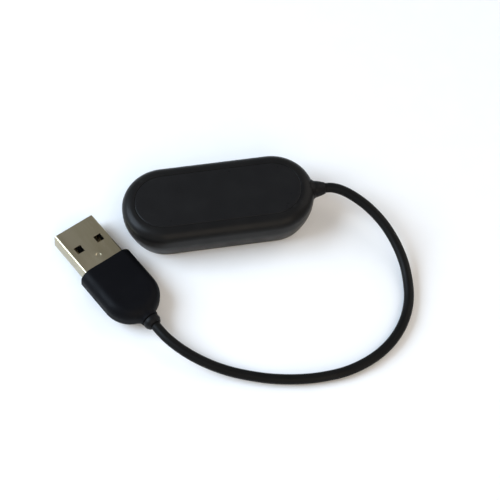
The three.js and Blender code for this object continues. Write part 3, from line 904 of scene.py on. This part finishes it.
def plug_matrix():
    """From the plug's own millimetres to the frame's, by the mount on the shell's front end."""
    front = mount("usb_plug_front")
    heading = math.atan2(-front["axis"][1], -front["axis"][0])
    turn = Euler((PLUG_ROLL, 0, heading), "XYZ").to_matrix()
    above = turn @ Vector((0, 0, SHELL_HEIGHT / 2 - SHELL_WALL / 2))
    return Matrix.Translation(Vector(front["pos_m"]) / MM - above) @ turn.to_4x4()


def in_plug(shape):
    """Moves a shape drawn in the plug's own frame to its place."""
    vertices, faces = shape
    return [plug_to_frame @ Vector(v) for v in vertices], faces


def grip_inside(x, y, z):
    """Signed depth of points in the grip's body: a rounded slab with a half-round rear."""
    behind = np.maximum(x - GRIP_REAR_CENTRE, 0)
    beyond = np.hypot(y, behind) - (GRIP_HALF_WIDTH - GRIP_EDGE)
    above = np.abs(z) - (GRIP_THICKNESS / 2 - GRIP_EDGE)
    outside = np.hypot(np.maximum(beyond, 0), np.maximum(above, 0))
    return outside + np.minimum(np.maximum(beyond, above), 0) - GRIP_EDGE


def grip_field(x, y, z):
    """The body joined to its round neck with a soft blend."""
    body = grip_inside(x, y, z)
    neck = np.hypot(y, z) - NECK_RADIUS
    share = np.clip(0.5 + 0.5 * (neck - body) / NECK_BLEND, 0, 1)
    return neck * (1 - share) + body * share - NECK_BLEND * share * (1 - share)


def grip_directions():
    """Unit directions across the plug that every ring of the grip shares, as across and up."""
    count = 160
    angles = np.arange(count) * 2 * math.pi / count
    across = GRIP_HALF_WIDTH * np.cos(angles)
    up = GRIP_THICKNESS / 2 * np.sin(angles)
    long = np.hypot(across, up)
    return across / long, up / long


HALVINGS = 40                   # of the distance in which an outline is searched for


def grip_ring(x):
    """The outline of the blended body and neck at this distance along the plug."""
    across, up = grip_directions()
    near = np.zeros_like(across)
    far = np.full_like(across, GRIP_HALF_WIDTH + 1)
    for _ in range(HALVINGS):
        middle = (near + far) / 2
        inside = grip_field(x, across * middle, up * middle) < 0
        near = np.where(inside, middle, near)
        far = np.where(inside, far, middle)
    return [(x, a * r, u * r) for a, u, r in zip(across, up, near)]


def scaled_ring(x, ring, inset):
    """A ring moved to x and drawn in by an inset."""
    out = []
    for _, y, z in ring:
        long = math.hypot(y, z)
        out.append((x, y * (1 - inset / long), z * (1 - inset / long)))
    return out


def slot_ring(x, half_width, half_height, corner):
    """A rounded rectangle, sampled in the grip's directions."""
    out = []
    for across, up in zip(*grip_directions()):
        near, far = 0.0, half_width + half_height
        for _ in range(HALVINGS):
            middle = (near + far) / 2
            beyond = abs(across) * middle - (half_width - corner)
            above = abs(up) * middle - (half_height - corner)
            depth = math.hypot(max(beyond, 0), max(above, 0)) + min(max(beyond, above), 0) - corner
            near, far = (middle, far) if depth < 0 else (near, middle)
        out.append((x, across * near, up * near))
    return out


def round_ring(x, radius):
    return [(x, a * radius, u * radius) for a, u in zip(*grip_directions())]


def plug_grip(material):
    """The shield-shaped overmoulding, hollow for the shell, the inner mould and the cable."""
    front = GRIP_FRONT + GRIP_FRONT_ROUNDING
    start = grip_ring(front)
    rings = [
        scaled_ring(
            GRIP_FRONT + GRIP_FRONT_ROUNDING * (1 - math.sin(a)), start,
            GRIP_FRONT_ROUNDING * (1 - math.cos(a)))
        for a in (math.pi / 2 * t for t in reversed(steps(5)))]
    rear = [GRIP_REAR_CENTRE + GRIP_HALF_WIDTH * math.sin(math.pi / 2 * t) for t in steps(40)]
    stations = [
        *np.linspace(front, GRIP_REAR_CENTRE, 14)[1:],
        *[x for x in rear[1:] if x < NECK_END - 0.8],
        *np.linspace(NECK_END - 0.78, NECK_END - NECK_ROUNDING, 5),
    ]
    rings += [grip_ring(float(x)) for x in stations]
    end = rings[-1]
    rings += [
        scaled_ring(
            NECK_END - NECK_ROUNDING + NECK_ROUNDING * math.sin(a), end,
            NECK_ROUNDING * (1 - math.cos(a)))
        for a in (math.pi / 2 * t for t in steps(4)[1:])]
    room_start, room_end = MOULD_ROOM_X
    rings += [
        round_ring(NECK_END, GRIP_BORE),
        round_ring(room_end, GRIP_BORE),
        slot_ring(room_end, SLOT_HALF_WIDTH, MOULD_ROOM_HALF_HEIGHT, MOULD_ROOM_CORNER),
        slot_ring(room_start, SLOT_HALF_WIDTH, MOULD_ROOM_HALF_HEIGHT, MOULD_ROOM_CORNER),
        slot_ring(room_start, SLOT_HALF_WIDTH, SLOT_HALF_HEIGHT, SLOT_CORNER),
        slot_ring(GRIP_FRONT + SLOT_FLARE, SLOT_HALF_WIDTH, SLOT_HALF_HEIGHT, SLOT_CORNER),
        slot_ring(GRIP_FRONT, SLOT_HALF_WIDTH + SLOT_FLARE, SLOT_HALF_HEIGHT + SLOT_FLARE, SLOT_CORNER),
    ]
    obj = new_object("plug_overmould", in_plug(loft(rings, closed=True)))
    return dress(obj, material, replaced=["plug_grip"], crease=40)


def usb_shell(material):
    """Folded shell: latch windows, a pressed dimple and the fold's seam on its lower face."""
    half_width, half_height = SHELL_WIDTH / 2, SHELL_HEIGHT / 2
    flat = half_width - SHELL_CORNER
    window_edges = [s * (WINDOW_Y + e * WINDOW_WIDTH / 2) for s in (1, -1) for e in (1, -1)]
    across = np.unique(np.round(np.concatenate([
        np.linspace(-flat, flat, 29),
        np.linspace(-FINE_STRIP, FINE_STRIP, 25),
        window_edges,
        [-0.08, -0.04, 0.04, 0.08],
    ]), 4))
    along = np.unique(np.round(np.concatenate([
        np.linspace(0, SHELL_LENGTH, 40),
        np.linspace(DIMPLE_X - FINE_STRIP, DIMPLE_X + FINE_STRIP, 25),
        WINDOW_X,
    ]), 4))
    corner = [(SHELL_CORNER * math.cos(a), SHELL_CORNER * math.sin(a))
              for a in (math.pi / 2 * t for t in steps(6))]
    side_z = half_height - SHELL_CORNER
    outline = [(y, half_height) for y in reversed(across)]
    outline += [(-flat - s, side_z + c) for c, s in corner[1:]]
    outline += [(-flat - c, -side_z - s) for c, s in corner[:-1]]
    outline += [(y, -half_height) for y in across]
    outline += [(flat + s, -side_z - c) for c, s in corner[1:]]
    outline += [(flat + c, side_z + s) for c, s in corner[:-1]]

    def pressed(x, y, z):
        if z > half_height - 1e-6:
            distance = math.hypot(x - DIMPLE_X, y) / DIMPLE_RADIUS
            share = min(max((1 - distance) / DIMPLE_SLOPE, 0), 1)
            return z - DIMPLE_DEPTH * share * share * (3 - 2 * share)
        if z < 1e-6 - half_height and abs(y) < FOLD_SEAM_HALF:
            return z + FOLD_SEAM_DEPTH
        return z

    count = len(outline)
    vertices = [(x, y, pressed(x, y, z)) for x in along for y, z in outline]
    faces = []
    for i in range(len(along) - 1):
        in_window_x = WINDOW_X[0] < (along[i] + along[i + 1]) / 2 < WINDOW_X[1]
        for k in range(count):
            m = (k + 1) % count
            y = (outline[k][0] + outline[m][0]) / 2
            on_broad_face = abs(outline[k][1] + outline[m][1]) / 2 > half_height - 1e-6
            in_window_y = abs(abs(y) - WINDOW_Y) < WINDOW_WIDTH / 2
            if not (in_window_x and on_broad_face and in_window_y):
                faces.append((i * count + k, i * count + m, (i + 1) * count + m, (i + 1) * count + k))
    obj = new_object("plug_shell", in_plug((vertices, faces)))
    face_out(obj)
    wall = obj.modifiers.new("wall", "SOLIDIFY")
    wall.thickness = SHELL_WALL * MM
    wall.offset = -1
    wall.use_even_offset = True
    edge = obj.modifiers.new("edge", "BEVEL")
    edge.width = SHELL_EDGE * MM
    edge.segments = 3
    edge.limit_method = "ANGLE"
    edge.angle_limit = math.radians(60)
    apply_modifiers(obj)
    clean(obj)
    return dress(obj, material, replaced=["usb_shell"], crease=50)


def face_out(obj):
    """Flips an open tube whose faces point to the plug's middle line."""
    middle = plug_to_frame @ Vector((SHELL_LENGTH / 2, 0, 0)) * MM
    axis = (plug_to_frame.to_3x3() @ Vector((1, 0, 0))).normalized()
    facing = 0.0
    for polygon in obj.data.polygons:
        away = polygon.center - middle
        away -= axis * away.dot(axis)
        facing += polygon.normal.dot(away)
    if facing < 0:
        obj.data.flip_normals()


def plug_collar(material):
    """The ring where the cable leaves the plug, with its sleeve inside the grip."""
    profile = rounded([
        (JACKET_BORE, PLUG_SLEEVE_START, 0),
        (PLUG_SLEEVE_RADIUS, PLUG_SLEEVE_START, 0.1),
        (PLUG_SLEEVE_RADIUS, PLUG_RING_START, 0),
        (PLUG_RING_RADIUS, PLUG_RING_START, 0.2),
        (PLUG_RING_RADIUS, PLUG_RING_TAPER, 0.3),
        (PLUG_RING_TIP_RADIUS, PLUG_RING_END, 0.2),
        (JACKET_BORE, PLUG_RING_END, 0.05),
    ])
    obj = new_object("plug_collar", in_plug(turned_about((0, 0, 0), (1, 0, 0), profile, 64)))
    return dress(obj, material, replaced=["plug_strain_relief"])


# ---------- CAD nodes that keep their shape ----------

def refinish(nodes, material, edge=0.0, softened=0):
    """Gives CAD nodes a finish and, where asked, a small edge break or a finer surface."""
    for name in nodes:
        obj = frame["nodes"][name]
        obj.material_slots[0].material = material
        if edge:
            bevel = obj.modifiers.new("edge", "BEVEL")
            bevel.width = edge * MM
            bevel.segments = 2
            bevel.limit_method = "ANGLE"
            bevel.angle_limit = math.radians(50)
        if softened:
            fine = obj.modifiers.new("fine", "SUBSURF")
            fine.levels = softened
            fine.render_levels = softened


# ---------- floor, lights and world ----------

def make_floor(material):
    """The table top, well beyond the picture."""
    half = 1500
    obj = new_object("floor", ([(-half, -half, 0), (half, -half, 0), (half, half, 0), (-half, half, 0)],
                               [(0, 1, 2, 3)]))
    obj.data.materials.append(material)


LIGHT_AIM = Vector((0, -15, 0))


def area_light(name, place, size, power, colour):
    """A square softbox at a place, turned to the object, in millimetres."""
    data = bpy.data.lights.new(name, "AREA")
    data.size = size * MM
    data.energy = power
    data.color = colour
    obj = bpy.data.objects.new(name, data)
    bpy.context.scene.collection.objects.link(obj)
    obj.location = Vector(place) * MM
    obj.rotation_euler = (Vector(place) - LIGHT_AIM).to_track_quat("Z", "Y").to_euler()


def make_world(horizon, overhead):
    """A white room, bright near the horizon and darker overhead."""
    world = bpy.data.worlds.new("room")
    world.use_nodes = True
    bpy.context.scene.world = world
    nodes, links = world.node_tree.nodes, world.node_tree.links
    split = nodes.new("ShaderNodeSeparateXYZ")
    links.new(nodes.new("ShaderNodeTexCoord").outputs["Generated"], split.inputs[0])
    height = nodes.new("ShaderNodeMapRange")
    height.inputs["From Min"].default_value = 0.1
    height.inputs["From Max"].default_value = 0.75
    height.inputs["To Min"].default_value = horizon
    height.inputs["To Max"].default_value = overhead
    links.new(split.outputs["Z"], height.inputs["Value"])
    links.new(height.outputs["Result"], nodes["Background"].inputs["Strength"])
    nodes["Background"].inputs["Color"].default_value = (0.97, 0.985, 1, 1)


# ---------- assembly ----------

bpy.context.scene.view_settings.view_transform = "Standard"
make_camera()
plug_to_frame = plug_matrix()
plug_turn = tuple(plug_to_frame.to_euler("XYZ"))

brass = metal("gold_contact", (0.83, 0.60, 0.26), (0.62, 0.43, 0.20), 0.26)
rubber = collar_rubber()

shell_obj = usb_shell(nickel_shell(plug_turn))
grip_obj = plug_grip(grip_plastic())
plug_collar_obj = plug_collar(rubber)
dock_collar_obj = dock_collar(rubber)
contact_names = [f"usb_contact_{i}" for i in range(1, 5)]
cable(cable_jacket())

outer_shell(shell_plastic())
back_cover(cover_plastic())
cradle_tray(tray_plastic())
charging_pins(brass, metal("spring_steel", (0.55, 0.55, 0.57), (0.42, 0.41, 0.40), 0.3))

refinish(["contact_board"], board_laminate(), edge=0.05)
refinish(["fuse_chip", "filter_chip"], chip_body(), edge=0.04)
refinish(["contact_carrier"], carrier_nylon(), edge=0.08)
refinish(["plug_inner_mould"], pale_mould(), edge=0.08)
# The plug's four contacts get a darker, browner gold than the pins: painted shade standing in for the
# shade inside the shell's latch windows.
refinish(contact_names,
         metal("shade_darkened_contact", (0.36, 0.29, 0.17), (0.24, 0.19, 0.12), 0.36), edge=0.05)
refinish(["dock_lead_red", "plug_lead_red"],
         insulation("red_insulation", (0.32, 0.012, 0.012), (0.42, 0.03, 0.025)), softened=2)
refinish(["dock_lead_black", "plug_lead_black"],
         insulation("black_insulation", (0.008, 0.008, 0.009), (0.016, 0.016, 0.017)), softened=2)
refinish(["pogo_solder_left", "pogo_solder_right", "dock_solder_red", "dock_solder_black",
          "plug_solder_red", "plug_solder_black"],
         metal("solder_metal", (0.62, 0.63, 0.64), (0.45, 0.45, 0.46), 0.3), softened=1)

make_floor(pale_floor())
make_world(0.45, 0.3)
area_light("window_left", (-430, 60, 340), 400, 4.8, (0.70, 0.84, 1.0))
area_light("soft_front", (120, -430, 330), 480, 1.5, (1.0, 0.86, 0.70))
area_light("soft_right", (430, 140, 330), 480, 1.1, (1.0, 0.94, 0.88))
